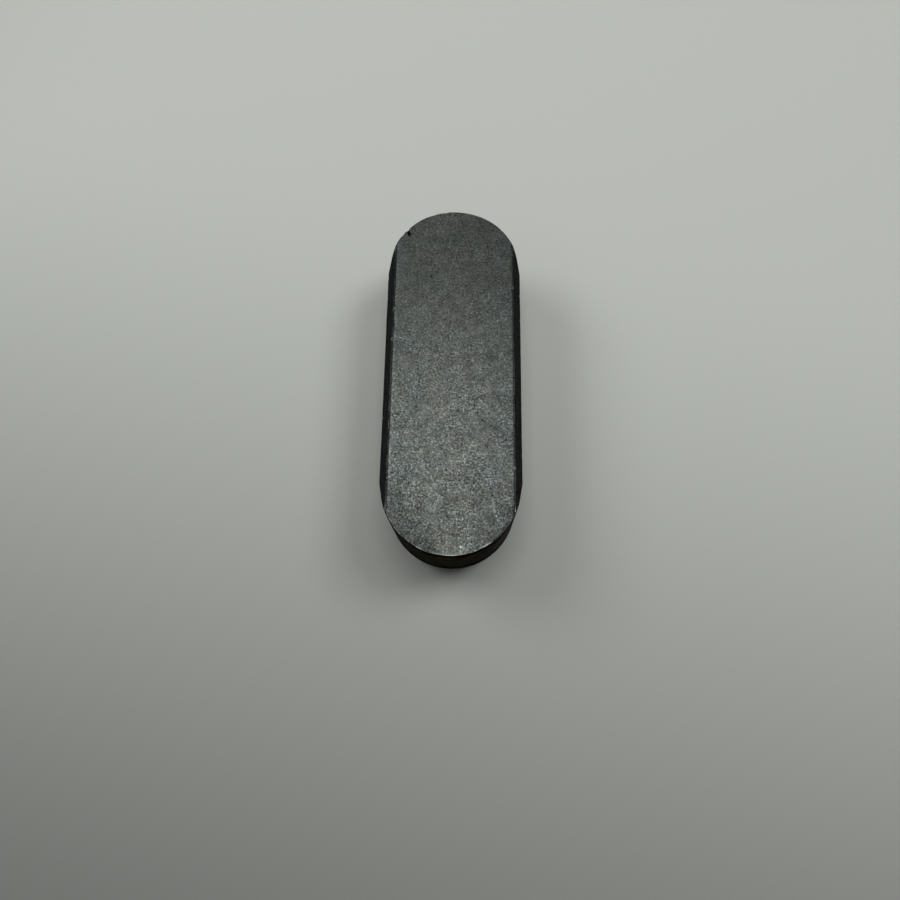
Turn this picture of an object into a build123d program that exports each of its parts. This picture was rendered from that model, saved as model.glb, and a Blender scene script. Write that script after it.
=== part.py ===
from build123d import *
import math
import os

# Round-ended parallel key for a shaft keyway, one solid piece of bright drawn steel.
# The bar is drawn with its four long edges already chamfered. Its two ends are then milled
# round with a form cutter, so each chamfer runs out into the end as a long pointed facet.
# X runs across the key, Y along it and Z up. The origin is the middle of the bottom face.
# All sizes are in millimetres and all angles in degrees.

# Driving sizes.
KEY_WIDTH = 12.0
KEY_HEIGHT = 8.0
KEY_LENGTH = 32.0
LONG_CHAMFER = 0.65
END_RADIUS_RELIEF = 0.15
END_FLARE_ANGLE = 10.0
END_EDGE_BREAK = 0.12

# The rounded end is cut a little tighter than half the width. The cutter's flanks flare out
# from the round to the side faces, which leaves a slight kink where the two meet.
HALF_WIDTH = KEY_WIDTH / 2
END_RADIUS = HALF_WIDTH - END_RADIUS_RELIEF
END_CENTRE_Y = KEY_LENGTH / 2 - END_RADIUS


def drawn_bar():
    """The drawn bar: a rectangle with 45 degree corners, carried along Y."""
    section = Plane.XZ * Pos(0, KEY_HEIGHT / 2) * Rectangle(KEY_WIDTH, KEY_HEIGHT)
    section = chamfer(section.vertices(), LONG_CHAMFER)
    return extrude(section, amount=KEY_LENGTH / 2, both=True)


def end_profile():
    """The plan outline that the form cutter leaves, drawn for both ends."""
    flare = math.radians(END_FLARE_ANGLE)
    tangent_x = END_RADIUS * math.cos(flare)
    tangent_y = END_CENTRE_Y + END_RADIUS * math.sin(flare)
    kink_y = tangent_y - (HALF_WIDTH - tangent_x) / math.tan(flare)
    tip = (0, KEY_LENGTH / 2)

    right_flank = Line((HALF_WIDTH, kink_y), (tangent_x, tangent_y))
    round_end = ThreePointArc((tangent_x, tangent_y), tip, (-tangent_x, tangent_y))
    left_flank = Line((-tangent_x, tangent_y), (-HALF_WIDTH, kink_y))
    left_side = Line((-HALF_WIDTH, kink_y), (-HALF_WIDTH, -kink_y))
    half = Curve() + [right_flank, round_end, left_flank, left_side]
    other_half = half.rotate(Axis.Z, 180)
    return make_face(half.edges() + other_half.edges())


def break_end_edges(key):
    """Take the burr off the top and bottom edges of the two rounded ends."""
    end_edges = []
    for face in (key.faces().sort_by(Axis.Z)[0], key.faces().sort_by(Axis.Z)[-1]):
        end_edges += [edge for edge in face.edges() if abs(edge.center().Y) > END_CENTRE_Y]
    return fillet(end_edges, END_EDGE_BREAK)


def parallel_key():
    """The drawn bar with both ends rounded and their edges broken."""
    rounded = drawn_bar() & extrude(end_profile(), amount=KEY_HEIGHT)
    return break_end_edges(rounded)


os.makedirs("parts", exist_ok=True)
export_step(parallel_key(), "parts/parallel_key.step")
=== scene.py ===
"""A used, round-ended parallel key of drawn steel, lying on a pale studio floor.

The key is one solid piece. Its skin is worked out with numpy from the same sizes as the solid:
a box-shaped grid is carried on to the chamfered, round-ended form, its edges are worn round,
and nicks, pits and tool marks are pressed into it. One material holds its finishes: finely
speckled steel on the faces, near-black scale on the chamfers, brown oxide with a little rust
on the milled ends, and bright metal where the edges have rubbed, which also paints the edges'
highlight. The key's colours and the floor's also carry painted light and shade.
"""

import logging
import math
from dataclasses import dataclass, replace
from enum import Enum
from functools import partial, reduce
from typing import Sequence

import bpy
import numpy as np
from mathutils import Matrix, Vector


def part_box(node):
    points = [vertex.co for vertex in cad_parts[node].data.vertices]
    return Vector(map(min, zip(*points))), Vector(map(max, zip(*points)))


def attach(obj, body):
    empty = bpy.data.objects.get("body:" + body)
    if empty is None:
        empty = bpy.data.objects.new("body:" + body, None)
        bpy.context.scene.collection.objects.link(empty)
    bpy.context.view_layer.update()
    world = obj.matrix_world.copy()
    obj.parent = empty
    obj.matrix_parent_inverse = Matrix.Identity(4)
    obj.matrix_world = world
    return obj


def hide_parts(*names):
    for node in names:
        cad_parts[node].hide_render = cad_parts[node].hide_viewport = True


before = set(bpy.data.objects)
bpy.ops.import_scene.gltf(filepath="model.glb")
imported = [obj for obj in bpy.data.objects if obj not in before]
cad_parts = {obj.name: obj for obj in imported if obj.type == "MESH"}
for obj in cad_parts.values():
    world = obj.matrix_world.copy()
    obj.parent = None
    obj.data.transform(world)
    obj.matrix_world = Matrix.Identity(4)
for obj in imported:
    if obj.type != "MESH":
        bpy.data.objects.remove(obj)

LOG = logging.getLogger("parallel_key")
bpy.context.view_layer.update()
MM = 0.001
KEY_NODE = "parallel_key"
TINY = 1e-9

Array = np.ndarray
Colour = tuple[float, float, float]
Point = tuple[float, float, float]
Span = tuple[float, float]
Ramp = tuple[float, ...]  # low and high, and then start and stop where they aren't 0 and 1
Pattern = tuple[float | Point, float, float]  # grains to the millimetre, detail, roughness
Signal = bpy.types.NodeSocket | float


class Measure(Enum):
    """The per-vertex measures, in millimetres, that tell the finishes apart, in their order."""

    CHAMFER_DEPTH = "chamfer_depth"
    END_DEPTH = "end_depth"
    EDGE_GAP = "edge_gap"
    NICK_DEPTH = "nick_depth"
    PIT_DEPTH = "pit_depth"


def placed(name: str, data: bpy.types.ID) -> bpy.types.Object:
    """Makes an object and puts it in the scene.

    Args:
        name: The object's name.
        data: Its mesh, lamp or camera.

    Returns:
        The object.
    """
    made = bpy.data.objects.new(name, data)
    bpy.context.scene.collection.objects.link(made)
    return made


@dataclass(frozen=True)
class KeySizes:
    """Sizes of the key in millimetres. Its origin is the middle of its bottom face.

    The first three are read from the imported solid, and the rest repeat that solid's own sizes.
    """

    width: float
    height: float
    length: float
    chamfer: float = 0.65
    end_relief: float = 0.15
    flare_deg: float = 10.0

    @classmethod
    def of_node(cls, node: str) -> "KeySizes":
        """Reads the overall sizes from the box of a CAD node.

        Args:
            node: Name of the CAD node.

        Returns:
            The sizes of that node.
        """
        low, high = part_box(node)
        width, length, height = (high - low) / MM
        return cls(width, height, length)

    @property
    def half_width(self) -> float:
        """Distance from the middle plane to a side face."""
        return self.width / 2

    @property
    def half_height(self) -> float:
        """Distance from mid-height to the top or bottom face."""
        return self.height / 2

    @property
    def ridge_x(self) -> float:
        """Distance from the middle plane to the ridge between a flat face and its chamfer."""
        return self.half_width - self.chamfer

    @property
    def end_radius(self) -> float:
        """Radius of the milled ends."""
        return self.half_width - self.end_relief

    @property
    def end_centre(self) -> float:
        """Distance from the middle of the key to the centre of an end's arc."""
        return self.length / 2 - self.end_radius

    @property
    def flare(self) -> float:
        """Angle between a side face and the flank that leads into the round end, in radians."""
        return math.radians(self.flare_deg)

    def half_length_at(self, x: Array) -> Array:
        """Half the key's length along lines beside its middle plane.

        Out to the tangent point it is the arc's centre plus the square root of the radius
        squared less x squared. Beyond, it falls in a straight line, as the flank does.

        Args:
            x: Distances from the middle plane.

        Returns:
            Half the length of the plan outline at each distance.
        """
        tangent_x = self.end_radius * math.cos(self.flare)
        tangent_y = self.end_centre + self.end_radius * math.sin(self.flare)
        arc = self.end_centre + np.sqrt(np.maximum(self.end_radius**2 - x**2, 0))
        flank = tangent_y - (x - tangent_x) / math.tan(self.flare)
        return np.where(x <= tangent_x, arc, flank)

    def half_height_at(self, x: Array) -> Array:
        """Half the key's height at distances x from the middle plane: less over the chamfers."""
        return self.half_height - np.maximum(x - self.ridge_x, 0)

    def end_slant_at(self, x: Array) -> Array:
        """How far along Y one leaves the end's edge by going one unit square to it."""
        # One over the cosine of the edge's slope, which grows along the arc up to the flank's.
        cosine = np.sqrt(np.maximum(1 - (x / self.end_radius) ** 2, 0))
        return 1 / np.maximum(cosine, math.sin(self.flare))


@dataclass(frozen=True)
class GridLines:
    """Spacing of the skin's grid, in millimetres. Lines crowd together beside every edge."""

    sizes: KeySizes
    across: float = 0.15
    along: float = 0.158
    upright: float = 0.175
    on_chamfer: float = 0.036
    ridge_gaps: tuple[float, ...] = (0.0, 0.02, 0.045, 0.08, 0.12)
    end_gaps: tuple[float, ...] = (0.0, 0.02, 0.045, 0.08, 0.12, 0.17, 0.24)

    @staticmethod
    def between(length: float, step: float, gaps: Array) -> Array:
        """Places from 0 to length: set gaps inside both ends, with even steps between them.

        Args:
            length: Distance to be divided.
            step: Rough size of an even step.
            gaps: Distances from each end, from 0 up.

        Returns:
            The places, in rising order.
        """
        inner = length - 2 * gaps[-1]
        count = max(2, round(inner / step))
        middle = gaps[-1] + inner * np.arange(1, count) / count
        return np.concatenate([gaps, middle, length - gaps[::-1]])

    def across_key(self) -> Array:
        """Places of the lines across the key.

        On the flat face they are equal steps of angle round the end's arc, projected on X, so
        that the end wall's columns are evenly spaced. On the chamfers they are even steps.

        Returns:
            Their X coordinates, from left to right.
        """
        sizes = self.sizes
        gaps = np.array(self.ridge_gaps)
        last = math.asin((sizes.ridge_x - gaps[-1]) / sizes.end_radius)
        count = round(last * sizes.end_radius / self.across)
        face = sizes.end_radius * np.sin(last * np.arange(1, count + 1) / count)
        ridge = sizes.ridge_x - gaps[-2:0:-1]
        chamfer = sizes.ridge_x + self.between(sizes.chamfer, self.on_chamfer, gaps[:4] / 2)
        half = np.concatenate([face, ridge, chamfer])
        return np.concatenate([-half[::-1], [0.0], half])

    def up_key(self) -> Array:
        """Places of the level lines, as shares of the local half height from -1 to 1."""
        flank = 2 * (self.sizes.half_height - self.sizes.chamfer)
        return self.between(flank, self.upright, np.array(self.ridge_gaps)) * 2 / flank - 1

    def along_key(self) -> tuple[Array, Array]:
        """Places of the lines along the key.

        Each line is a share of the outline after the outline has been moved in by an inset.
        Beside the ends the share is 1 and the inset grows, so the lines there keep an even
        distance from the end's edge.

        Returns:
            The shares, from -1 to 1, and the insets in millimetres.
        """
        gaps = np.array(self.end_gaps)
        count = round((self.sizes.length / 2 - gaps[-1]) / self.along)
        inner = np.arange(-count, count + 1) / count
        edge = np.ones(len(gaps) - 1)
        shares = np.concatenate([-edge, inner, edge])
        insets = np.concatenate([gaps[:-1], np.full(len(inner), gaps[-1]), gaps[-2::-1]])
        return shares, insets


class KeyForm:
    """The key's exact form, handled in its first octant because it is symmetric three ways."""

    CYCLES = 48

    def __init__(self, sizes: KeySizes) -> None:
        """Keeps the sizes.

        Args:
            sizes: The key's sizes.
        """
        self.sizes = sizes
        self.flare_out = np.array([math.cos(sizes.flare), math.sin(sizes.flare)])
        self.flare_up = np.array([-math.sin(sizes.flare), math.cos(sizes.flare)])

    def fold(self, points: Array) -> tuple[Array, Array]:
        """Points' distances from the three middle planes, and the signs that unfold them."""
        centred = points - np.array([0, 0, self.sizes.half_height])
        return np.abs(centred), np.where(centred < 0, -1.0, 1.0)

    def from_end_arc(self, folded: Array) -> tuple[Array, Array]:
        """Distance from the end's arc centre, with the arc run on straight down the flank.

        A point beyond the tangent line counts by its true distance, and one before it by its
        distance along the flank's normal, which makes arc and flank one smooth wall.

        Args:
            folded: Points in the first octant.

        Returns:
            That distance, and the wall's outward direction in plan at each point.
        """
        plan = folded[:, :2] - np.array([0, self.sizes.end_centre])
        out = plan @ self.flare_out
        up = np.maximum(plan @ self.flare_up, 0)
        distance = np.where(up > 0, np.hypot(out, up), out)
        safe = np.maximum(np.abs(distance), TINY)[:, None]
        round_wall = (out[:, None] * self.flare_out + up[:, None] * self.flare_up) / safe
        return distance, np.where(up[:, None] > 0, round_wall, self.flare_out)

    def beyond_end(self, folded: Array, shrink: Array) -> Array:
        """How far points stick out of the end wall of the shrunken key.

        Args:
            folded: Points in the first octant.
            shrink: How far the shrunken key lies inside the walls, at each point.

        Returns:
            Their way out of it, as rows of x, y and z.
        """
        distance, outward = self.from_end_arc(folded)
        over = np.maximum(distance - (self.sizes.end_radius - shrink), 0)[:, None]
        return np.column_stack([over * outward, np.zeros(len(folded))])

    def core(self, folded: Array, shrink: Array) -> Array:
        """The nearest points of the key's core, which is the key shrunk from every wall.

        Dykstra's method: points are moved on to each wall's inner side in turn, and what each
        wall moved them by is given back before its next turn, until they settle.

        Args:
            folded: Points in the first octant.
            shrink: How far the core lies inside the walls, at each point.

        Returns:
            The core's nearest point to each of them.
        """
        sizes = self.sizes
        endless = np.full(len(folded), np.inf)
        faces = [sizes.half_width - shrink, endless, sizes.half_height - shrink]
        limit = np.stack(faces, axis=1)
        diagonal = np.array([1, 0, 1]) / math.sqrt(2)
        bevel = (sizes.ridge_x + sizes.half_height) / math.sqrt(2) - shrink
        beyond = (
            lambda place: np.maximum(place - limit, 0),
            lambda place: np.maximum(place @ diagonal - bevel, 0)[:, None] * diagonal,
            lambda place: self.beyond_end(place, shrink),
        )
        place = folded
        owed = [np.zeros_like(folded) for _ in beyond]
        for _ in range(self.CYCLES):
            for wall, way_out in enumerate(beyond):
                start = place + owed[wall]
                owed[wall] = way_out(start)
                place = start - owed[wall]
        return place

    def worn(self, points: Array, radius: Array) -> tuple[Array, Array]:
        """Rounds every edge: each point is put at the wear radius from the core.

        Args:
            points: Points on the sharp form.
            radius: Wear radius at each point.

        Returns:
            The points on the worn form, and its outward normals there.
        """
        folded, signs = self.fold(points)
        core = self.core(folded, radius)
        normal = folded - core
        normal /= np.maximum(np.linalg.norm(normal, axis=1), TINY)[:, None]
        surface = (core + normal * radius[:, None]) * signs
        return surface + np.array([0, 0, self.sizes.half_height]), normal * signs

    def depths(self, points: Array) -> tuple[Array, Array, Array]:
        """How far points of the sharp form lie inside the chamfers and the end walls.

        A depth is above 0 on its own surface and below 0 off it, and its size is about the
        distance along the skin to that surface's border. The gap to the nearest sharp edge
        leaves out the faint bend between a side and its end wall.

        Args:
            points: Points on the sharp form.

        Returns:
            The depth inside a chamfer, the depth inside an end wall, and the gap to an edge.
        """
        sizes = self.sizes
        folded, _ = self.fold(points)
        side = sizes.half_width - folded[:, 0]
        face = sizes.half_height - folded[:, 2]
        bevel = sizes.ridge_x - folded[:, 0] + face
        end = sizes.end_radius - self.from_end_arc(folded)[0]
        bend = math.sin(sizes.flare)
        walls = np.stack([side, face, bevel, end])
        on_side, on_face, on_bevel, on_end = (walls.argmin(axis=0) == wall for wall in range(4))
        slope = math.sqrt(2)
        chamfer_depth = np.where(on_bevel, slope * np.minimum(side, face), -bevel)
        inside_end = np.minimum(np.minimum(side / bend, face), bevel)
        outside_end = [inside_end, -end / bend, -slope * end]
        end_depth = np.select([on_end, on_side, on_bevel], outside_end, -end)
        edge_gap = np.select(
            [on_side, on_face, on_bevel],
            [bevel, np.minimum(bevel, end), slope * walls[[0, 1, 3]].min(axis=0)],
            np.minimum(face, bevel),
        )
        return chamfer_depth, end_depth, edge_gap


@dataclass(frozen=True)
class Nick:
    """One dent: where it is, how far it reaches and how deep it goes, in millimetres."""

    place: Point
    reach: float
    depth: float

    def depth_at(self, points: Array) -> Array:
        """Depth of the dent at points: full in its middle, easing to none at its reach."""
        share = np.linalg.norm(points - np.array(self.place), axis=1) / self.reach
        return self.depth * np.maximum(1 - share**2, 0) ** 2


@dataclass(frozen=True)
class Wear:
    """How the key has been used, in millimetres: worn edges, nicks, pits and uneven faces.

    A reach is how far a dent spreads, and a slope its depth as a share of its reach. Both are
    drawn from spans. The known nicks stand out: each is an X and Y on the upper edges, a reach
    and a depth.
    """

    sizes: KeySizes
    ridge_radius: float = 0.13
    shoulder_radius: float = 0.10
    rim_radius: float = 0.045
    rim_fade: float = 0.5
    edge_change: float = 0.3
    edge_change_length: float = 2.6
    edge_change_limit: float = 1.5
    sway: float = 0.0025
    sway_length: float = 3.4
    dimple: float = 0.0016
    dimple_length: float = 0.62
    tool_line: float = 0.004
    tool_line_pitch: float = 0.82
    tool_line_fade: float = 0.3
    waves: int = 24
    wave_spread: Span = (0.7, 1.4)
    ragged: float = 0.035
    ragged_length: float = 0.22
    pits: int = 420
    pit_reach: Span = (0.12, 0.34)
    pit_slope: Span = (0.02, 0.07)
    pit_scatter: float = 0.04
    rim_nicks: int = 70
    ridge_nicks: int = 60
    nick_reach: Span = (0.07, 0.24)
    nick_slope: Span = (0.04, 0.2)
    known_nicks: tuple[tuple[float, float, float, float], ...] = (
        (3.60, -14.70, 0.22, 0.08),
        (3.28, -14.90, 0.16, 0.04),
        (2.44, -15.46, 0.24, 0.06),
        (-4.27, 13.98, 0.26, 0.12),
        (-0.84, 15.94, 0.26, 0.05),
        (1.30, -15.80, 0.30, 0.04),
        (5.30, -8.60, 0.20, 0.05),
        (-5.38, 3.10, 0.24, 0.05),
    )
    seed: int = 12832

    def ripple(self, points: Array, length: float, seed: int) -> Array:
        """Smooth random relief of about unit size.

        It is a sum of cosines that run in random directions, all near one wavelength.

        Args:
            points: Where to work it out.
            length: The usual wavelength.
            seed: Seed of the directions and phases.

        Returns:
            The relief at each point.
        """
        rng = np.random.default_rng(seed)
        heading = rng.normal(size=(3, self.waves))
        heading /= np.linalg.norm(heading, axis=0)
        steps = heading * math.tau / (length * rng.uniform(*self.wave_spread, self.waves))
        phase = rng.uniform(0, math.tau, self.waves)
        return np.cos(points @ steps + phase).sum(axis=1) * math.sqrt(2 / self.waves)

    def edge_radius_at(self, points: Array, end_depth: Array) -> Array:
        """Wear radius of the nearest edge, which changes smoothly along it.

        The ridges beside the flat faces are worn most, the shoulders beside the sides less,
        and the end rims least. One radius fades into the next half way between two edges.

        Args:
            points: Points on the sharp form.
            end_depth: Depth inside the end walls, in millimetres.

        Returns:
            The radius at each point.
        """
        outward = np.abs(points[:, 0]) - self.sizes.ridge_x
        outward = np.clip(outward / self.sizes.chamfer, 0, 1)
        radius = self.ridge_radius + (self.shoulder_radius - self.ridge_radius) * outward
        inward = np.clip(np.abs(end_depth) / self.rim_fade, 0, 1)
        radius = self.rim_radius + (radius - self.rim_radius) * inward
        limit = self.edge_change_limit
        change = np.clip(self.ripple(points, self.edge_change_length, self.seed), -limit, limit)
        return radius * (1 + self.edge_change * change)

    def dent_depth(self, points: Array, dents: Sequence[Nick]) -> Array:
        """The deepest dent's depth at each point.

        The dents are measured at points shifted by fine ripples, so that they come out ragged.

        Args:
            points: Where to work it out.
            dents: The dents.

        Returns:
            The depths.
        """
        shift = [self.ripple(points, self.ragged_length, self.seed + 6 + axis) for axis in range(3)]
        torn = points + self.ragged * np.stack(shift, axis=1)
        return np.max([dent.depth_at(torn) for dent in dents], axis=0)

    @staticmethod
    def dents(places: Array, reach: Span, slope: Span, rng: np.random.Generator) -> list[Nick]:
        """Dents of random reach and depth.

        Args:
            places: Where they are, as rows of x, y and z.
            reach: The least and greatest reach.
            slope: The least and greatest depth, as shares of the reach.
            rng: Source of the random numbers.

        Returns:
            The dents.
        """
        reaches = rng.uniform(*reach, len(places))
        depths = reaches * rng.uniform(*slope, len(places))
        return [Nick(tuple(p), r, d) for p, r, d in zip(places, reaches, depths)]

    def rim_places(self, rng: np.random.Generator) -> Array:
        """Random places on the curved edges of both ends, top and bottom.

        Args:
            rng: Source of the random numbers.

        Returns:
            The places, as rows of x, y and z.
        """
        sizes = self.sizes
        angle = rng.uniform(-1, 1, self.rim_nicks) * math.asin(sizes.ridge_x / sizes.end_radius)
        x = sizes.end_radius * np.sin(angle)
        y = sizes.half_length_at(np.abs(x)) * rng.choice([-1, 1], self.rim_nicks)
        return np.stack([x, y, rng.choice([0, sizes.height], self.rim_nicks)], axis=1)

    def ridge_places(self, rng: np.random.Generator) -> Array:
        """Random places on the long ridges between the flat faces, chamfers and sides.

        Args:
            rng: Source of the random numbers.

        Returns:
            The places, as rows of x, y and z.
        """
        sizes = self.sizes
        outer = rng.integers(0, 2, self.ridge_nicks)
        x = sizes.ridge_x + outer * sizes.chamfer
        rise = sizes.half_height - outer * sizes.chamfer
        y = rng.uniform(-1, 1, self.ridge_nicks) * sizes.half_length_at(x)
        x = x * rng.choice([-1, 1], self.ridge_nicks)
        z = sizes.half_height + rise * rng.choice([-1, 1], self.ridge_nicks)
        return np.stack([x, y, z], axis=1)

    def edge_nick_depth(self, points: Array) -> Array:
        """Depth of all dents on the edges: the known ones and a scatter of small ones.

        Args:
            points: Where to work it out.

        Returns:
            The deepest dent's depth at each point.
        """
        rng = np.random.default_rng(self.seed + 1)
        places = np.concatenate([self.rim_places(rng), self.ridge_places(rng)])
        nicks = self.dents(places, self.nick_reach, self.nick_slope, rng)
        nicks += [Nick((x, y, self.sizes.height), r, d) for x, y, r, d in self.known_nicks]
        return self.dent_depth(points, nicks)

    def pit_depth(self, points: Array) -> Array:
        """Depth of the shallow pits scattered over the faces, sides and ends.

        Args:
            points: Where to work it out.

        Returns:
            The deepest pit's depth at each point.
        """
        rng = np.random.default_rng(self.seed + 2)
        places = points[rng.integers(0, len(points), self.pits)]
        places = places + rng.normal(0, self.pit_scatter, places.shape)
        places = np.clip(places, points.min(axis=0), points.max(axis=0))
        return self.dent_depth(points, self.dents(places, self.pit_reach, self.pit_slope, rng))

    def relief(self, points: Array, end_depth: Array) -> Array:
        """Depth of the faces' unevenness and of the cutter's lines round the ends.

        The unevenness is two ripples, squared up to be all inward. The cutter's lines are a
        cosine of the height, which only the end walls have.

        Args:
            points: Where to work it out.
            end_depth: Depth inside the end walls, in millimetres.

        Returns:
            The depth at each point.
        """
        sway = self.sway * (1 + np.tanh(self.ripple(points, self.sway_length, self.seed + 3)))
        fine = self.ripple(points, self.dimple_length, self.seed + 4)
        dimple = self.dimple * (1 + np.tanh(fine))
        drift = self.ripple(points, self.sizes.half_width, self.seed + 5)
        turn = math.tau * points[:, 2] / self.tool_line_pitch + drift
        on_wall = np.clip(end_depth / self.tool_line_fade, 0, 1)
        return sway + dimple + self.tool_line * (0.5 + 0.5 * np.cos(turn)) * on_wall


class KeySkin:
    """The key's detailed outer surface, as one closed mesh."""

    def __init__(self, sizes: KeySizes) -> None:
        """Sets up what the surface is worked out from.

        Args:
            sizes: The key's sizes.
        """
        self.sizes = sizes
        self.lines = GridLines(sizes)
        self.wear = Wear(sizes)
        self.form = KeyForm(sizes)

    def sharp_points(self) -> tuple[Array, Array]:
        """The box-shaped grid carried on to the sharp form.

        A grid point keeps its X. Its Y is its share of the outline's length there, moved in by
        its inset square to the end, and its Z is its share of the height there.

        Returns:
            The surface's points, and a block of their numbers with -1 inside.
        """
        x = self.lines.across_key()
        share, inset = self.lines.along_key()
        rise = self.lines.up_key()
        numbers = np.full((len(x), len(share), len(rise)), -1)
        shell = np.ones(numbers.shape, bool)
        shell[1:-1, 1:-1, 1:-1] = False
        i, j, k = np.nonzero(shell)
        numbers[i, j, k] = np.arange(len(i))
        away = np.abs(x)
        length = self.sizes.half_length_at(away)[i]
        slant = self.sizes.end_slant_at(away)[i]
        height = self.sizes.half_height_at(away)[i]
        y = share[j] * (length - inset[j] * slant)
        z = self.sizes.half_height + rise[k] * height
        return np.stack([x[i], y, z], axis=1), numbers

    @staticmethod
    def quads(numbers: Array) -> Array:
        """The faces of the grid's six sides, all turned outwards.

        Args:
            numbers: The block of point numbers.

        Returns:
            Rows of four point numbers.
        """
        faces = []
        for axis in range(3):
            layers = np.moveaxis(numbers, axis, 0)
            for grid, flipped in ((layers[0], axis != 1), (layers[-1], axis == 1)):
                corners = [grid[:-1, :-1], grid[1:, :-1], grid[1:, 1:], grid[:-1, 1:]]
                order = corners[::-1] if flipped else corners
                faces.append(np.stack(order, axis=-1).reshape(-1, 4))
        return np.concatenate(faces)

    def build(self) -> bpy.types.Object:
        """Makes the mesh, with the finishes' measures on its vertices.

        Returns:
            The key's object, at the origin.
        """
        sharp, numbers = self.sharp_points()
        depths = self.form.depths(sharp)
        _, end_depth, _ = depths
        radius = self.wear.edge_radius_at(sharp, end_depth)
        points, normals = self.form.worn(sharp, radius)
        nick = self.wear.edge_nick_depth(points)
        pit = self.wear.pit_depth(points)
        relief = self.wear.relief(points, end_depth)
        points = points - normals * np.maximum(np.maximum(nick, pit), relief)[:, None]
        mesh = bpy.data.meshes.new("key_skin")
        mesh.from_pydata(points * MM, [], self.quads(numbers))
        mesh.polygons.foreach_set("use_smooth", np.ones(len(mesh.polygons), bool))
        for measure, values in zip(Measure, (*depths, nick, pit)):
            layer = mesh.attributes.new(measure.value, "FLOAT", "POINT")
            layer.data.foreach_set("value", values.astype(np.float32))
        mesh.update()
        return placed("key_body", mesh)


class Bench:
    """Makes shader nodes, so that a finish reads as a few plain steps."""

    def __init__(self, owner: bpy.types.Material | bpy.types.World) -> None:
        """Clears the node tree of a material or world.

        Args:
            owner: The material or world to lay nodes in.
        """
        owner.use_nodes = True
        self.tree = owner.node_tree
        self.tree.nodes.clear()

    def node(self, kind: str, *values: object, **settings: object) -> bpy.types.Node:
        """Adds a node.

        Args:
            kind: The node's type.
            values: What its first sockets get, in order.
            settings: Its properties.

        Returns:
            The node.
        """
        made = self.tree.nodes.new(kind)
        for name, value in settings.items():
            setattr(made, name, value)
        for socket, value in zip(made.inputs, values):
            self.feed(socket, value)
        return made

    def feed(self, socket: bpy.types.NodeSocket, value: object) -> None:
        """Links a signal to a socket, or sets a plain value on it.

        Args:
            socket: The socket to feed.
            value: The signal or plain value.
        """
        if isinstance(value, bpy.types.NodeSocket):
            self.tree.links.new(value, socket)
        else:
            socket.default_value = value

    def feed_named(self, node: bpy.types.Node, values: dict[str, object]) -> None:
        """Feeds a node's sockets by their names."""
        for name, value in values.items():
            self.feed(node.inputs[name], value)

    def millimetres(self) -> bpy.types.NodeSocket:
        """The place on the object, in millimetres."""
        place = self.node("ShaderNodeTexCoord")
        return self.stretched(place.outputs["Object"], (1 / MM,) * 3)

    def stretched(self, place: Signal, scale: Point) -> bpy.types.NodeSocket:
        """A place with its axes scaled, so that a pattern shrinks along them."""
        return self.vector("MULTIPLY", place, scale).outputs[0]

    def vector(self, kind: str, *values: object) -> bpy.types.Node:
        """One step of vector arithmetic, such as SUBTRACT, LENGTH or DOT_PRODUCT."""
        return self.node("ShaderNodeVectorMath", *values, operation=kind)

    def number(self, kind: str, *values: Signal) -> bpy.types.NodeSocket:
        """One step of arithmetic, such as DIVIDE, ABSOLUTE or MAXIMUM."""
        return self.node("ShaderNodeMath", *values, operation=kind).outputs[0]

    def add(self, *values: Signal) -> Signal:
        """The values added up."""
        return reduce(partial(self.number, "ADD"), values)

    def times(self, *values: Signal) -> Signal:
        """The values multiplied with each other."""
        return reduce(partial(self.number, "MULTIPLY"), values)

    def ramp(self, value: Signal, low: Signal, high: Signal, start: Signal = 0.0,
             stop: Signal = 1.0) -> bpy.types.NodeSocket:
        """Eases from start to stop as the value goes from low to high.

        Args:
            value: The signal to follow.
            low: Where the change starts.
            high: Where the change ends.
            start: What comes out at low.
            stop: What comes out at high.

        Returns:
            The eased signal.
        """
        ease = self.node("ShaderNodeMapRange", value, low, high, start, stop,
                         interpolation_type="SMOOTHSTEP")
        return ease.outputs["Result"]

    def blend(self, share: Signal, first: object, second: object,
              kind: str = "MIX") -> bpy.types.NodeSocket:
        """Mixes two colours by a share from 0 to 1.

        Args:
            share: How much of the second shows.
            first: The colour under it.
            second: The colour over it.
            kind: The mix's blend type.

        Returns:
            The mixed colour.
        """
        mix = self.node("ShaderNodeMix", share, data_type="RGBA", blend_type=kind, clamp_factor=True)
        for socket, colour in ((mix.inputs[6], first), (mix.inputs[7], second)):
            self.feed(socket, (*colour, 1.0) if isinstance(colour, tuple) else colour)
        return mix.outputs[2]

    def blend_value(self, share: Signal, first: Signal, second: Signal) -> Signal:
        """Mixes two numbers by a share from 0 to 1.

        Args:
            share: How much of the second counts.
            first: One number.
            second: The other.

        Returns:
            The mixed number.
        """
        mix = self.node("ShaderNodeMix", share, data_type="FLOAT", clamp_factor=True)
        self.feed(mix.inputs[2], first)
        self.feed(mix.inputs[3], second)
        return mix.outputs[0]

    def blend_shader(self, share: Signal, first: Signal, second: Signal) -> Signal:
        """Mixes two shaders by a share from 0 to 1."""
        return self.node("ShaderNodeMixShader", share, first, second).outputs[0]

    def parts(self, place: Signal) -> tuple[Signal, Signal, Signal]:
        """The X, Y and Z parts of a place or direction."""
        return tuple(self.node("ShaderNodeSeparateXYZ", place).outputs)

    def tinted(self, colour: Signal | Colour, strength: Signal) -> bpy.types.NodeSocket:
        """A colour made lighter or darker.

        Args:
            colour: The colour.
            strength: The factor.

        Returns:
            The colour times the factor.
        """
        scale = self.vector("SCALE", colour)
        self.feed(scale.inputs["Scale"], strength)
        return scale.outputs[0]

    def finish(self, kind: str, surface: Signal) -> None:
        """Adds the output node, fed by the finished shader."""
        self.feed_named(self.node(kind), {"Surface": surface})


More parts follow.
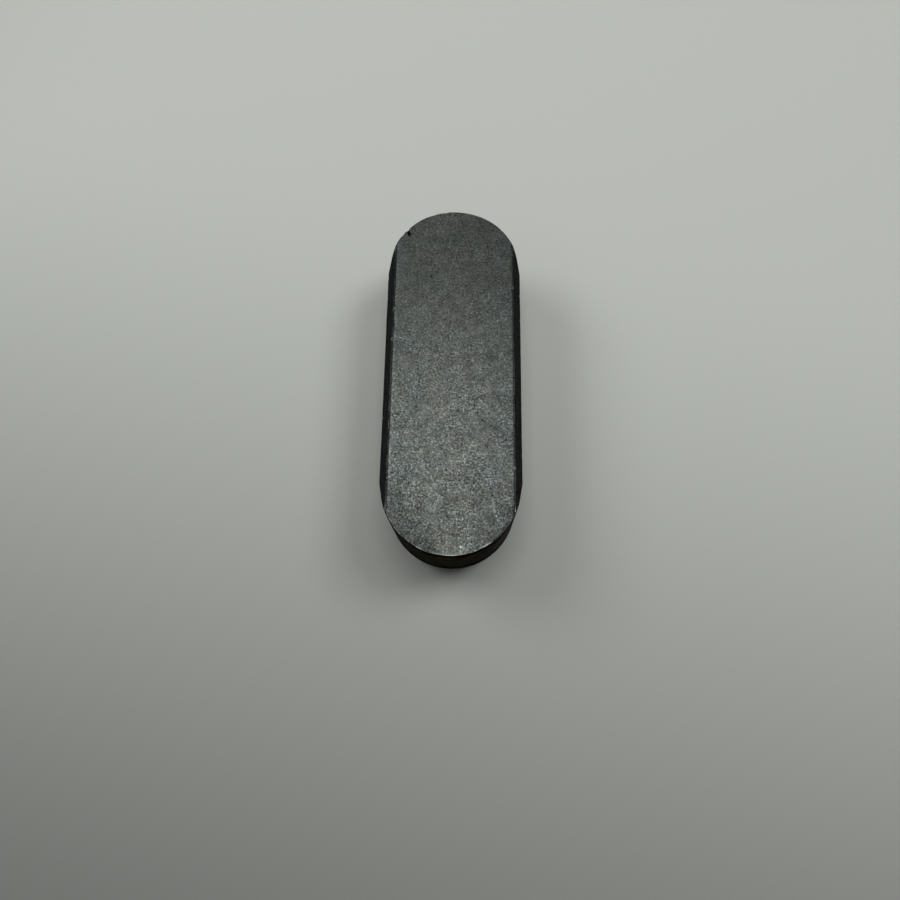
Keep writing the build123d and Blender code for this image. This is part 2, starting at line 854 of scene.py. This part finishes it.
class KeyBench(Bench):
    """A bench for the key's material, with the key's places and measures in millimetres.

    Dots sit in the cells whose random number lies in their pick, and grow with it.
    """

    DOT_PICK = (0.7, 1.0)
    DOT_EDGE = (0.03, -0.03)
    STROKE_CORE = 0.2

    def __init__(self, owner: bpy.types.Material) -> None:
        """Reads the places and the mesh's measures.

        Args:
            owner: The key's material.
        """
        super().__init__(owner)
        self.place = self.millimetres()
        self.across, self.along, _ = self.parts(self.place)
        self.away = self.number("ABSOLUTE", self.across)
        self.chamfer, self.end, self.edge, self.nick, self.pit = (
            self.node("ShaderNodeAttribute", attribute_name=measure.value).outputs["Fac"]
            for measure in Measure)

    def noise(self, scale: float | Point, detail: float, roughness: float) -> Signal:
        """Soft random pattern around one half.

        Args:
            scale: Grains to the millimetre, for all axes or for each.
            detail: How many finer patterns are added.
            roughness: How strong each finer pattern is.

        Returns:
            The pattern.
        """
        even = isinstance(scale, float)
        pattern = self.node("ShaderNodeTexNoise", noise_dimensions="3D")
        self.feed_named(pattern, {
            "Vector": self.place if even else self.stretched(self.place, scale),
            "Scale": scale if even else 1.0,
            "Detail": detail,
            "Roughness": roughness,
        })
        return pattern.outputs["Fac"]

    def centred(self, pattern: Signal, contrast: Signal) -> Signal:
        """A pattern around one half, moved to zero and made stronger."""
        return self.times(self.number("SUBTRACT", pattern, 0.5), contrast)

    def cells(self, place: Signal, scale: float) -> tuple[Signal, Signal]:
        """Scattered cells.

        Args:
            place: The place on the object, in millimetres.
            scale: Cells to the millimetre.

        Returns:
            The distance from each cell's middle, and the cell's own random number.
        """
        pattern = self.node("ShaderNodeTexVoronoi", feature="F1", voronoi_dimensions="3D")
        self.feed_named(pattern, {"Vector": place, "Scale": scale})
        split = self.node("ShaderNodeSeparateColor", pattern.outputs["Color"])
        return pattern.outputs["Distance"], split.outputs["Red"]

    def dots(self, place: Signal, scale: float, largest: float) -> Signal:
        """Scattered round dots: 1 inside them and 0 outside. About a third of the cells have one.

        Args:
            place: The place on the object, in millimetres.
            scale: Cells to the millimetre.
            largest: Radius of the largest dots, as a share of a cell.

        Returns:
            The dots' signal.
        """
        gap, pick = self.cells(place, scale)
        radius = self.ramp(pick, *self.DOT_PICK, 0.0, largest)
        return self.ramp(self.number("SUBTRACT", gap, radius), *self.DOT_EDGE)

    def stroke(self, start: Point, stop: Point, width: float) -> bpy.types.NodeSocket:
        """How much a place lies within a straight stroke, from 0 beside it to 1 on its line.

        The place is compared with the nearest point of the line from start to stop, which is
        start plus its share of the way, clamped between 0 and 1.

        Args:
            start: One end of the stroke.
            stop: Its other end.
            width: Distance from the line at which the stroke fades out.

        Returns:
            The stroke's share.
        """
        way = np.array(stop) - np.array(start)
        offset = self.vector("SUBTRACT", self.place, start).outputs[0]
        shadow = self.vector("DOT_PRODUCT", offset, way / max(float(way @ way), TINY))
        share = self.node("ShaderNodeClamp", shadow.outputs["Value"]).outputs[0]
        gap = self.vector("DISTANCE", offset, self.tinted(way, share))
        return self.ramp(gap.outputs["Value"], width, self.STROKE_CORE * width)


@dataclass(frozen=True)
class Coat:
    """One finish's signals, ready to be laid over another."""

    colour: Signal
    roughness: Signal
    height: Signal
    metal: Signal = 0.0

    def under(self, bench: Bench, share: Signal, over: "Coat") -> "Coat":
        """Lays another finish over this one.

        Args:
            bench: The material's nodes.
            share: How much of the other shows, from 0 to 1.
            over: The other finish.

        Returns:
            The mixed finish.
        """
        return Coat(bench.blend(share, self.colour, over.colour),
                    bench.blend_value(share, self.roughness, over.roughness),
                    bench.blend_value(share, self.height, over.height),
                    bench.blend_value(share, self.metal, over.metal))


@dataclass(frozen=True)
class SpeckledSteel:
    """The flat faces: bare steel grains showing through thin dark oxide, with faint stains.

    Each pattern adds to one exponent, so that the tone varies by ratios and its lightest grains
    stand out from the rest, as they do on worn metal. The side faces are smeared by drawing:
    their grains are weaker, and lines run along them instead.
    """

    middle: Colour = (0.0800, 0.0885, 0.0825)
    warm: Colour = (1.036, 0.998, 0.960)
    cool: Colour = (0.970, 1.004, 1.018)
    warm_fleck: Colour = (1.020, 1.00, 0.980)
    cool_fleck: Colour = (0.980, 1.00, 1.020)
    # The patterns, and how strongly each counts.
    grain: Pattern = (6.5, 2.0, 0.5)
    grain_contrast: float = 4.15
    drawn_grain: float = 0.28
    patch: Pattern = (0.4, 2.0, 0.5)
    patch_change: Ramp = (0.35, 0.65, 0.8, 1.2)
    drawn_line: Pattern = ((13.0, 0.18, 13.0), 3.0, 0.6)
    drawn_contrast: float = 1.9
    drawn_smear: float = 0.8
    fleck_cells: float = 6.5
    fleck_contrast: float = 0.85
    cloud: Pattern = (1.1, 3.0, 0.6)
    cloud_contrast: float = 1.7
    drawn_cloud: float = 0.5
    stain: Pattern = (0.5, 5.0, 0.8)
    stain_share: Ramp = (0.38, 0.62)
    stain_by_side: Ramp = (0.5, 5.0, -0.05, 0.05)
    pit_cells: float = 2.6
    pit_reach: float = 0.24
    pit_darkness: float = -1.5
    spark_cells: float = 2.4
    spark_stretch: Point = (1.0, 1.3, 1.0)
    spark_reach: float = 0.15
    spark_light: float = 0.9
    # Grime and painted light: where the grime and the painted highlight inside the left ridge lie,
    # and how strong they are.
    grime: float = 0.40
    grime_reach: Ramp = (-2.0, 2.5, 3.4, 1.0)
    grime_end: Ramp = (-8.0, -11.0)
    clean_middle: float = 0.9
    clean_share: Ramp = (0.3, 2.6, 1.0, -0.9)
    painted_highlight_band: Ramp = (-0.38, -0.22)
    painted_highlight_share: Ramp = (-5.0, -4.0, 0.30, 0.0)
    # Slow changes over the whole face.
    side_face: Ramp = (5.90, 5.96)
    # Painted light and shade: the speckle's glints fade and the tone darkens towards the far end,
    # the near end and the right side, where the light falls off.
    far_painted_glint_fade: Ramp = (-11.0, 12.0, 1.0, 0.77)
    near_painted_shade: Ramp = (-15.0, -3.0, 0.93, 1.0)
    far_painted_shade: Ramp = (-2.0, 16.0, 1.0, 0.79)
    right_painted_shade: Ramp = (-2.0, 6.5, 1.0, 0.79)
    # What the patterns do to the shader: the darkest grains are oxide and the lightest metal.
    metal: float = 0.61
    drawn_metal: float = 0.80
    metal_power: Span = (-1.3, 1.3)
    tone_share: float = 0.8
    grain_height: float = 0.7
    fleck_height: float = 0.3
    roughness: Ramp = (0.3, 0.7, 0.305, 0.385)

    def grime_and_painted_highlight(self, bench: KeyBench) -> Signal:
        """How grime and a painted highlight change the faces: grime inside the near rim, and a
        painted highlight just inside the left ridge.

        The grime fades out some way in from the rim, further on the left than on the right, and
        gives way to cleaner metal at the middle of the end.

        Args:
            bench: The material's nodes.

        Returns:
            What the grime and the painted highlight add to the exponent.
        """
        inside = bench.times(bench.end, -1.0)
        ratio = bench.number("DIVIDE", inside, bench.ramp(bench.across, *self.grime_reach))
        off_middle = bench.number("SUBTRACT", bench.across, self.clean_middle)
        off_middle = bench.number("ABSOLUTE", off_middle)
        grime = bench.times(bench.ramp(ratio, 0.0, 1.0, 1.0, 0.0),
                            bench.ramp(bench.along, *self.grime_end),
                            bench.ramp(off_middle, *self.clean_share), self.grime)
        # Painted highlight: a lighter band just inside the left ridge only, standing in for light
        # from the left.
        painted_highlight = bench.times(bench.ramp(bench.chamfer, *self.painted_highlight_band),
                            bench.ramp(bench.across, *self.painted_highlight_share))
        return bench.add(grime, painted_highlight)

    def tint(self, bench: KeyBench, fleck: Signal) -> Signal:
        """The steel's middle colour, tinted by broad stains and by each fleck's own number.

        Args:
            bench: The material's nodes.
            fleck: The flecks' random numbers.

        Returns:
            The colour.
        """
        stain = bench.add(bench.noise(*self.stain),
                          bench.ramp(bench.away, *self.stain_by_side))
        shade = bench.blend(bench.ramp(stain, *self.stain_share), self.warm, self.cool)
        spot = bench.blend(fleck, self.warm_fleck, self.cool_fleck)
        return bench.blend(1.0, bench.blend(1.0, self.middle, shade, "MULTIPLY"), spot, "MULTIPLY")

    def coat(self, bench: KeyBench) -> Coat:
        """Lays out the finish's nodes.

        Args:
            bench: The material's nodes.

        Returns:
            The finish's signals.
        """
        side = bench.ramp(bench.away, *self.side_face)
        grain, cloud, drawn, patch = (
            bench.noise(*pattern)
            for pattern in (self.grain, self.cloud, self.drawn_line, self.patch))
        _, fleck = bench.cells(bench.place, self.fleck_cells)
        fleck = bench.blend_value(bench.times(side, self.drawn_smear), fleck, 0.5)
        pits = bench.dots(bench.place, self.pit_cells, self.pit_reach)
        sparks = bench.dots(bench.stretched(bench.place, self.spark_stretch), self.spark_cells,
                            self.spark_reach)
        grainy, cloudy = (
            bench.ramp(side, 0.0, 1.0, contrast, share * contrast)
            for contrast, share in ((self.grain_contrast, self.drawn_grain),
                                    (self.cloud_contrast, self.drawn_cloud)))
        grainy = bench.times(grainy, bench.ramp(patch, *self.patch_change))
        power = bench.add(
            bench.centred(grain, grainy),
            bench.centred(drawn, bench.times(side, self.drawn_contrast)),
            bench.centred(fleck, self.fleck_contrast),
            bench.centred(cloud, cloudy),
            bench.times(pits, self.pit_darkness),
            bench.times(sparks, self.spark_light),
            self.grime_and_painted_highlight(bench))
        # Painted light and shade: weaker glints and a darker tone towards the far end, the near end
        # and the right side.
        power = bench.times(power, bench.ramp(bench.along, *self.far_painted_glint_fade))
        light = bench.times(
            bench.number("EXPONENT", bench.times(power, self.tone_share)),
            bench.ramp(bench.along, *self.far_painted_shade),
            bench.ramp(bench.across, *self.right_painted_shade),
            bench.ramp(bench.along, *self.near_painted_shade))
        height = bench.add(bench.times(grain, self.grain_height),
                           bench.times(fleck, self.fleck_height))
        metal = bench.ramp(side, 0.0, 1.0, self.metal, self.drawn_metal)
        return Coat(bench.tinted(self.tint(bench, fleck), light),
                    bench.ramp(cloud, *self.roughness), height,
                    bench.ramp(power, *self.metal_power, 0.0, metal))


@dataclass(frozen=True)
class MillScale:
    """The chamfers: a thin, near-black scale with faint lines along the bar."""

    tone: Colour = (0.0098, 0.0107, 0.0098)
    line: Pattern = ((9.0, 0.5, 9.0), 2.0, 0.6)
    line_light: Ramp = (0.3, 0.7, 0.7, 1.35)
    grain: Pattern = (5.0, 4.0, 0.65)
    grain_light: Ramp = (0.3, 0.75, 0.7, 1.6)
    metal: float = 0.12
    roughness: Ramp = (0.3, 0.7, 0.42, 0.6)

    def coat(self, bench: KeyBench) -> Coat:
        """Lays out the finish's nodes.

        Args:
            bench: The material's nodes.

        Returns:
            The finish's signals.
        """
        line, grain = bench.noise(*self.line), bench.noise(*self.grain)
        light = bench.times(bench.ramp(line, *self.line_light), bench.ramp(grain, *self.grain_light))
        height = bench.times(bench.add(line, grain), 0.5)
        rough = bench.ramp(grain, *self.roughness)
        return Coat(bench.tinted(self.tone, light), rough, height, self.metal)


@dataclass(frozen=True)
class EndOxide:
    """The milled end walls: brown-black oxide over fine cutter lines, with rust blooms.

    One bloom is drawn out into a streak low in the near wall. The walls are painted lighter towards
    the right, standing in for light from that side.
    """

    tone: Colour = (0.0250, 0.0246, 0.0192)
    rust: Colour = (0.059, 0.0325, 0.0210)
    line: Pattern = ((0.35, 0.35, 9.5), 3.0, 0.6)
    line_light: Ramp = (0.3, 0.7, 0.88, 1.13)
    line_height: float = 0.9
    hairline: Pattern = ((0.8, 0.8, 26.0), 2.0, 0.6)
    hairline_light: Ramp = (0.3, 0.7, 0.86, 1.14)
    hairline_height: float = 0.5
    grain: Pattern = (7.0, 4.0, 0.7)
    grain_light: Ramp = (0.3, 0.72, 0.5, 1.75)
    grain_height: Span = (0.3, 1.0)
    # Painted light: the walls lighter towards the right side.
    right_painted_light: Ramp = (3.0, 4.4, 1.0, 1.7)
    bloom: Pattern = ((0.50, 0.50, 0.75), 5.0, 0.65)
    bloom_grain: float = 0.22
    bloom_share: Ramp = (0.64, 0.80)
    streak: tuple[Point, Point] = ((-1.3, -15.92, 6.2), (1.5, -15.90, 6.4))
    streak_width: float = 1.0
    streak_share: float = 0.10
    mean_height: float = 0.35
    roughness: Span = (0.85, 0.95)

    def coat(self, bench: KeyBench) -> Coat:
        """Lays out the finish's nodes.

        Args:
            bench: The material's nodes.

        Returns:
            The finish's signals.
        """
        line, hair, grain, bloom = (
            bench.noise(*pattern)
            for pattern in (self.line, self.hairline, self.grain, self.bloom))
        # The last factor is painted light: the walls lighter towards the right.
        light = bench.times(
            bench.ramp(line, *self.line_light), bench.ramp(grain, *self.grain_light),
            bench.ramp(hair, *self.hairline_light), bench.ramp(bench.across, *self.right_painted_light))
        streak = bench.stroke(*self.streak, self.streak_width)
        rusty = bench.add(bloom, bench.times(grain, self.bloom_grain),
                          bench.times(streak, self.streak_share))
        rusty = bench.ramp(rusty, *self.bloom_share)
        colour = bench.blend(rusty, *(bench.tinted(tone, light) for tone in (self.tone, self.rust)))
        height = bench.add(
            bench.times(line, self.line_height), bench.times(hair, self.hairline_height),
            bench.times(grain, bench.ramp(rusty, 0.0, 1.0, *self.grain_height)), -self.mean_height)
        return Coat(colour, bench.ramp(rusty, 0.0, 1.0, *self.roughness), height)


@dataclass(frozen=True)
class RubbedEdgeAndHighlight:
    """Bright metal where handling has rubbed the edges, in a band of uneven width; it also paints
    the highlight that the rounded edges catch.
    """

    tone: Colour = (0.25, 0.26, 0.255)
    tone_share: float = 0.8
    reach: Ramp = (0.36, 0.66, 0.015, 0.09)
    unevenness: Pattern = (0.9, 4.0, 0.7)
    fade: Span = (1.0, 0.45)
    roughness: float = 0.34

    def share(self, bench: KeyBench, spread: Signal) -> Signal:
        """How much rubbed metal and painted highlight a place has, from 0 to 1, where the band is
        spread times its usual width.
        """
        reach = bench.ramp(bench.noise(*self.unevenness), *self.reach)
        return bench.ramp(bench.number("DIVIDE", bench.edge, bench.times(reach, spread)), *self.fade)


@dataclass(frozen=True)
class Stroke:
    """A short straight scratch or mark on the upper face, in millimetres."""

    start: Span
    stop: Span
    width: float
    light: float


class KeyFinish:
    """The key's one material: its finishes laid over each other by where they belong.

    A border holds the depths, in millimetres, between which one finish gives way to the next.
    The chamfers' border lies further down on the left than on the right, and on the right its scale
    fades in over a wider band that paints the right ridge's shade. A rub holds how wide the band of
    rubbed metal and painted edge highlight gets, or how much of it stays.
    """

    STROKES = (
        Stroke((-4.10, -9.75), (-4.01, -10.25), 0.075, 1.6),
        Stroke((-4.01, -10.25), (-3.86, -10.75), 0.075, 1.5),
        Stroke((2.54, -4.35), (2.80, -4.62), 0.11, 0.35),
        Stroke((3.35, -4.92), (4.21, -5.47), 0.075, 0.42),
        Stroke((4.21, -5.47), (4.50, -5.90), 0.065, 0.6),
        Stroke((0.86, -15.20), (1.12, -15.36), 0.17, 2.5),
        Stroke((3.50, -11.20), (3.58, -12.30), 0.16, 1.45),
        Stroke((3.66, -12.20), (3.92, -13.10), 0.14, 1.4),
        Stroke((-0.28, -12.74), (-0.20, -12.84), 0.13, 0.25),
        Stroke((-1.62, -3.70), (-1.58, -3.86), 0.12, 1.9),
    )
    RUST_SPOT: tuple[Point, Point] = ((-4.29, 14.02, 8.0), (-4.16, 13.60, 8.0))
    RUST_SPOT_WIDTH = 0.2
    RUST_SPOT_EDGE = (0.0, 0.5)
    RUST_SPOT_COLOUR: Colour = (0.012, 0.0012, 0.0018)
    RAGGED: Pattern = (6.0, 3.0, 0.6)
    RAGGED_REACH = 0.09
    LEFT_TO_RIGHT = (-1.0, 1.0)
    LEFT_BORDER = (-0.19, -0.07)
    # On the right the dark scale fades in over a wider band of the face, which paints the shade of
    # the right ridge's rounding.
    RIGHT_BORDER_WITH_SHADE = (-0.25, 0.0)
    OXIDE_BORDER = (-0.012, 0.022)
    OXIDE_CREEP: Ramp = (1.5, 4.0, 0.0, 0.09)
    # Painted shade at the end walls' foot, and a darker band under their top rim.
    EDGE_DARKENING: Ramp = (0.4, 1.9, 0.25, 1.0)
    EDGE_DARKENING_CLOUD: Pattern = (0.8, 3.0, 0.6)
    EDGE_DARKENING_RAGGED = 6.0
    EDGE_DARKENING_UNEVEN = 5.0
    PIT_DARK: Ramp = (0.006, 0.02, 1.0, 0.3)
    NICK_DARK: Ramp = (0.025, 0.045, 1.0, 0.2)
    FRESH_NICK: Ramp = (0.008, 0.02, 0.0, 0.32)
    OLD_NICK: Ramp = (0.03, 0.05, 1.0, 0.0)
    # Rubbed metal and painted highlight along the edges: wide round the rims' middles, fading
    # towards the far end.
    RIM_RUB_AND_HIGHLIGHT: Ramp = (4.5, 5.2, 2.2, 0.66)
    RIDGE_RUB: Ramp = (5.5, 5.8, 0.1, 0.6)
    RIM_REACH = (-0.35, -0.15)
    FAR_RUB_AND_HIGHLIGHT: Ramp = (-4.0, 8.0, 1.0, 0.4)
    END_RUB: Ramp = (0.2, 0.7, 1.0, 0.15)
    RELIEF = 0.0042
    SPECULAR = 0.0

    def __init__(self, sizes: KeySizes) -> None:
        """Starts the material.

        Args:
            sizes: The key's sizes.
        """
        self.sizes = sizes
        self.material = bpy.data.materials.new("key_steel_finish")
        self.bench = KeyBench(self.material)

    def stroked(self, colour: Signal) -> Signal:
        """Draws the single scratches and marks over the upper face.

        Args:
            colour: The face's colour.

        Returns:
            The colour with the marks on it.
        """
        top = self.sizes.height
        for stroke in self.STROKES:
            share = self.bench.stroke((*stroke.start, top), (*stroke.stop, top), stroke.width)
            colour = self.bench.tinted(colour, self.bench.ramp(share, 0.0, 1.0, 1.0, stroke.light))
        return colour

    def edge_darkened(self, colour: Signal, ragged: Signal) -> Signal:
        """Darkens the end walls in an uneven band beside their edges: painted shade at the foot,
        where the key meets the floor, and a darker band under the top rim.

        Args:
            colour: The end walls' colour.
            ragged: The small random shift that makes every border ragged.

        Returns:
            The colour with the soot on it.
        """
        bench = self.bench
        uneven = bench.centred(bench.noise(*self.EDGE_DARKENING_CLOUD), self.EDGE_DARKENING_UNEVEN)
        darkening = bench.add(bench.edge, bench.times(ragged, self.EDGE_DARKENING_RAGGED), uneven)
        return bench.tinted(colour, bench.ramp(darkening, *self.EDGE_DARKENING))

    def rub_and_highlight_share(self, on_end: Signal) -> Signal:
        """How bright each place is: rubbed metal and a painted highlight along the edges, fading
        towards the far end, and shallow nicks that are still fresh.

        Args:
            on_end: How much of the end walls' oxide covers a place.

        Returns:
            The share, from 0 to 1.
        """
        bench = self.bench
        ridge, rim = (bench.ramp(bench.away, *rub) for rub in (self.RIDGE_RUB, self.RIM_RUB_AND_HIGHLIGHT))
        spread = bench.times(bench.ramp(bench.end, *self.RIM_REACH, ridge, rim),
                             bench.ramp(bench.along, *self.FAR_RUB_AND_HIGHLIGHT))
        edge = bench.times(RubbedEdgeAndHighlight().share(bench, spread), bench.ramp(on_end, *self.END_RUB))
        nick = bench.times(bench.ramp(bench.nick, *self.FRESH_NICK),
                           bench.ramp(bench.nick, *self.OLD_NICK))
        return bench.number("MAXIMUM", edge, nick)

    def layered(self) -> Coat:
        """Lays scale and oxide over the steel, then pits, nicks, rubbed edges with their painted
        highlight, and the rust spot.

        Returns:
            The finish that comes out on top.
        """
        bench = self.bench
        ragged = bench.centred(bench.noise(*self.RAGGED), self.RAGGED_REACH)
        border = [bench.ramp(bench.across, *self.LEFT_TO_RIGHT, left, right)
                  for left, right in zip(self.LEFT_BORDER, self.RIGHT_BORDER_WITH_SHADE)]
        on_chamfer = bench.ramp(bench.add(bench.chamfer, ragged), *border)
        creep = bench.ramp(bench.away, *self.OXIDE_CREEP)
        on_end = bench.ramp(bench.add(bench.end, ragged, creep), *self.OXIDE_BORDER)
        steel, oxide = SpeckledSteel().coat(bench), EndOxide().coat(bench)
        coat = replace(steel, colour=self.stroked(steel.colour))
        coat = coat.under(bench, on_chamfer, MillScale().coat(bench))
        oxide = replace(oxide, colour=self.edge_darkened(oxide.colour, ragged))
        coat = coat.under(bench, on_end, oxide)

        edge_rub_and_highlight = RubbedEdgeAndHighlight()
        bright = self.rub_and_highlight_share(on_end)
        dents = bench.times(bench.ramp(bench.pit, *self.PIT_DARK),
                            bench.ramp(bench.nick, *self.NICK_DARK))
        colour = bench.blend(bench.times(bright, edge_rub_and_highlight.tone_share),
                             bench.tinted(coat.colour, dents), edge_rub_and_highlight.tone)
        spot = bench.ramp(bench.stroke(*self.RUST_SPOT, self.RUST_SPOT_WIDTH), *self.RUST_SPOT_EDGE)
        return Coat(bench.blend(spot, colour, self.RUST_SPOT_COLOUR),
                    bench.blend_value(bright, coat.roughness, edge_rub_and_highlight.roughness), coat.height,
                    bench.blend_value(bright, coat.metal, 1.0))

    def build(self) -> bpy.types.Material:
        """Feeds the layered finishes to one shader.

        Returns:
            The finished material.
        """
        coat = self.layered()
        bump = self.bench.node("ShaderNodeBump")
        self.bench.feed_named(bump, {
            "Strength": 1.0, "Distance": self.RELIEF * MM, "Height": coat.height})
        shader = self.bench.node("ShaderNodeBsdfPrincipled")
        self.bench.feed_named(shader, {
            "Base Color": coat.colour,
            "Metallic": coat.metal,
            "Roughness": coat.roughness,
            "Specular IOR Level": self.SPECULAR,
            "Normal": bump.outputs["Normal"],
        })
        self.bench.finish("ShaderNodeOutputMaterial", shader.outputs["BSDF"])
        return self.material


class ParallelKey:
    """The whole key: its skin and its finish."""

    def __init__(self) -> None:
        """Reads the key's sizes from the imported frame."""
        self.sizes = KeySizes.of_node(KEY_NODE)

    def build(self) -> bpy.types.Object:
        """Builds and dresses the key, and ties it to its CAD body.

        Returns:
            The key's object.
        """
        key = KeySkin(self.sizes).build()
        key.data.materials.append(KeyFinish(self.sizes).build())
        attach(key, "root")
        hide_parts(KEY_NODE)
        return key


@dataclass(frozen=True)
class Lamp:
    """A soft flat lamp that faces the key. Its lengths are in metres and its power in watts."""

    name: str
    place: Point
    width: float
    depth: float
    power: float
    colour: Colour = (1.0, 1.0, 1.0)

    def build(self) -> bpy.types.Object:
        """Hangs the lamp and points it at the key.

        Returns:
            The lamp's object.
        """
        data = bpy.data.lights.new(self.name, "AREA")
        data.shape = "RECTANGLE"
        data.size = self.width
        data.size_y = self.depth
        data.energy = self.power
        data.color = self.colour
        lamp = placed(self.name, data)
        x, y, z = self.place
        lamp.location = self.place
        lamp.rotation_euler = (math.atan2(math.hypot(x, y), z), 0, math.atan2(x, -y))
        return lamp


@dataclass(frozen=True)
class Studio:
    """The pale floor, the soft light and the camera round the key."""

    floor_reach: float = 3.0
    floor_turns: int = 96
    floor_rings: int = 24
    floor_tone: Colour = (0.410, 0.427, 0.397)
    floor_roughness: float = 0.9
    floor_specular: float = 0.1
    backdrop_tone: Colour = (0.375, 0.393, 0.363)
    # Painted light falloff on the floor and the backdrop: darker towards the near side, lighter
    # towards the bright side.
    bright_side: Point = (0.23, 0.97, 0.0)
    slope_mm: Span = (-76.0, 24.0)
    slope: Span = (0.31, 1.15)
    fade_mm: Span = (52.0, 105.0)
    glow: Span = (0.52, 1.28)
    air_tone: Colour = (0.97, 1.0, 0.985)
    air_level: float = 0.06
    horizon_level: float = 0.15
    sheen_level: float = 0.80
    horizon_rise: Span = (0.36, 0.76)
    lens: float = 28.66
    eye_mm: Point = (1.172, -24.348, 65.487)
    tilt_deg: float = 16.699
    roll_deg: float = 0.996
    pan_deg: float = 0.884

    LAMPS = (
        Lamp("overhead_panel", (0.0, 0.051, 0.25), 0.115, 0.09, 0.20),
        Lamp("right_window", (0.193, 0.102, 0.30), 0.12, 0.16, 0.58),
        Lamp("left_window", (-0.194, 0.103, 0.198), 0.12, 0.14, 0.31),
        Lamp("left_strip", (-0.22, -0.03, 0.24), 0.26, 0.03, 0.045),
        Lamp("near_ceiling_lamp", (0.10, -0.20, 0.56), 0.03, 0.03, 0.05),
    )

    def build_floor(self) -> bpy.types.Object:
        """A wide flat sheet under the key: a disc of polar grid points.

        Returns:
            The floor's object.
        """
        turns = np.linspace(0, math.tau, self.floor_turns, endpoint=False)
        rings = self.floor_reach * np.linspace(0, 1, self.floor_rings)[1:] ** 2
        x = np.outer(rings, np.cos(turns)).ravel()
        y = np.outer(rings, np.sin(turns)).ravel()
        points = np.vstack([[0, 0, 0], np.stack([x, y, np.zeros_like(x)], axis=1)])
        number = 1 + np.arange(len(x)).reshape(len(rings), len(turns))
        following = np.roll(number, -1, axis=1)
        hub = np.stack([np.zeros_like(number[0]), number[0], following[0]], axis=1)
        band = np.stack([number[:-1], number[1:], following[1:], following[:-1]], axis=-1)
        mesh = bpy.data.meshes.new("floor")
        mesh.from_pydata(points, [], hub.tolist() + band.reshape(-1, 4).tolist())
        mesh.materials.append(self.floor_finish())
        floor = placed("studio_floor", mesh)
        return floor

    def floor_finish(self) -> bpy.types.Material:
        """Matt pale paper that fades into the backdrop away from the key, with a painted light
        falloff in its colour: darker towards the near side, lighter towards the bright side.

        Returns:
            The floor's material.
        """
        material = bpy.data.materials.new("floor_paper")
        bench = Bench(material)
        place = bench.millimetres()
        # Painted light falloff: the floor's colour darker towards the near side, lighter towards the
        # bright side.
        slope = bench.ramp(self.along(bench, place), *self.slope_mm, *self.slope)
        shader = bench.node("ShaderNodeBsdfPrincipled")
        bench.feed_named(shader, {
            "Base Color": bench.tinted(self.floor_tone, slope),
            "Roughness": self.floor_roughness,
            "Specular IOR Level": self.floor_specular,
        })
        seen = bench.node("ShaderNodeEmission", self.backdrop(bench, place))
        away = bench.vector("LENGTH", place).outputs["Value"]
        path = bench.node("ShaderNodeLightPath")
        share = bench.times(bench.ramp(away, *self.fade_mm), path.outputs["Is Camera Ray"])
        bench.finish("ShaderNodeOutputMaterial",
                     bench.blend_shader(share, shader.outputs[0], seen.outputs[0]))
        return material

    def backdrop(self, bench: Bench, direction: Signal) -> Signal:
        """The backdrop's colour in a direction, with the floor's painted light falloff: lighter
        towards the bright side, darker away from it.
        """
        side = self.along(bench, bench.vector("NORMALIZE", direction).outputs[0])
        return bench.tinted(self.backdrop_tone, bench.ramp(side, -1.0, 1.0, *self.glow))

    def along(self, bench: Bench, place: Signal) -> Signal:
        """How far a place or direction reaches towards the bright side."""
        return bench.vector("DOT_PRODUCT", place, self.bright_side).outputs["Value"]

    def build_air(self) -> None:
        """A dim surround that lightens towards the horizon, and looks as pale as the floor."""
        world = bpy.data.worlds.new("studio_air")
        bpy.context.scene.world = world
        bench = Bench(world)
        direction = bench.node("ShaderNodeTexCoord").outputs["Generated"]
        _, _, rise = bench.parts(direction)
        path = bench.node("ShaderNodeLightPath")
        horizon = bench.ramp(path.outputs["Is Glossy Ray"], 0.0, 1.0, self.horizon_level,
                             self.sheen_level)
        level = bench.ramp(rise, *self.horizon_rise, horizon, self.air_level)
        light = bench.node("ShaderNodeBackground", (*self.air_tone, 1.0), level)
        seen = bench.node("ShaderNodeBackground", self.backdrop(bench, direction))
        bench.finish("ShaderNodeOutputWorld",
                     bench.blend_shader(path.outputs["Is Camera Ray"], light.outputs[0],
                                        seen.outputs[0]))

    def build_camera(self) -> bpy.types.Object:
        """The camera, which looks down on the key from a little beyond its near end.

        Returns:
            The camera's object.
        """
        data = bpy.data.cameras.new("camera")
        data.lens = self.lens
        data.clip_start = MM
        camera = placed("camera", data)
        camera.location = [value * MM for value in self.eye_mm]
        turns = (self.tilt_deg, self.roll_deg, self.pan_deg)
        camera.rotation_euler = [math.radians(value) for value in turns]
        bpy.context.scene.camera = camera
        return camera

    def build(self) -> None:
        """Sets the whole stage."""
        self.build_floor()
        self.build_air()
        for lamp in self.LAMPS:
            lamp.build()
        self.build_camera()
        bpy.context.scene.view_settings.view_transform = "Standard"


def main() -> None:
    """Builds the key and its studio, and reports what was made."""
    logging.basicConfig(level=logging.INFO, format="%(name)s: %(message)s")
    key = ParallelKey().build()
    LOG.info("%s: %d vertices, %d faces", key.name, len(key.data.vertices), len(key.data.polygons))
    Studio().build()


if __name__ == "__main__":
    main()
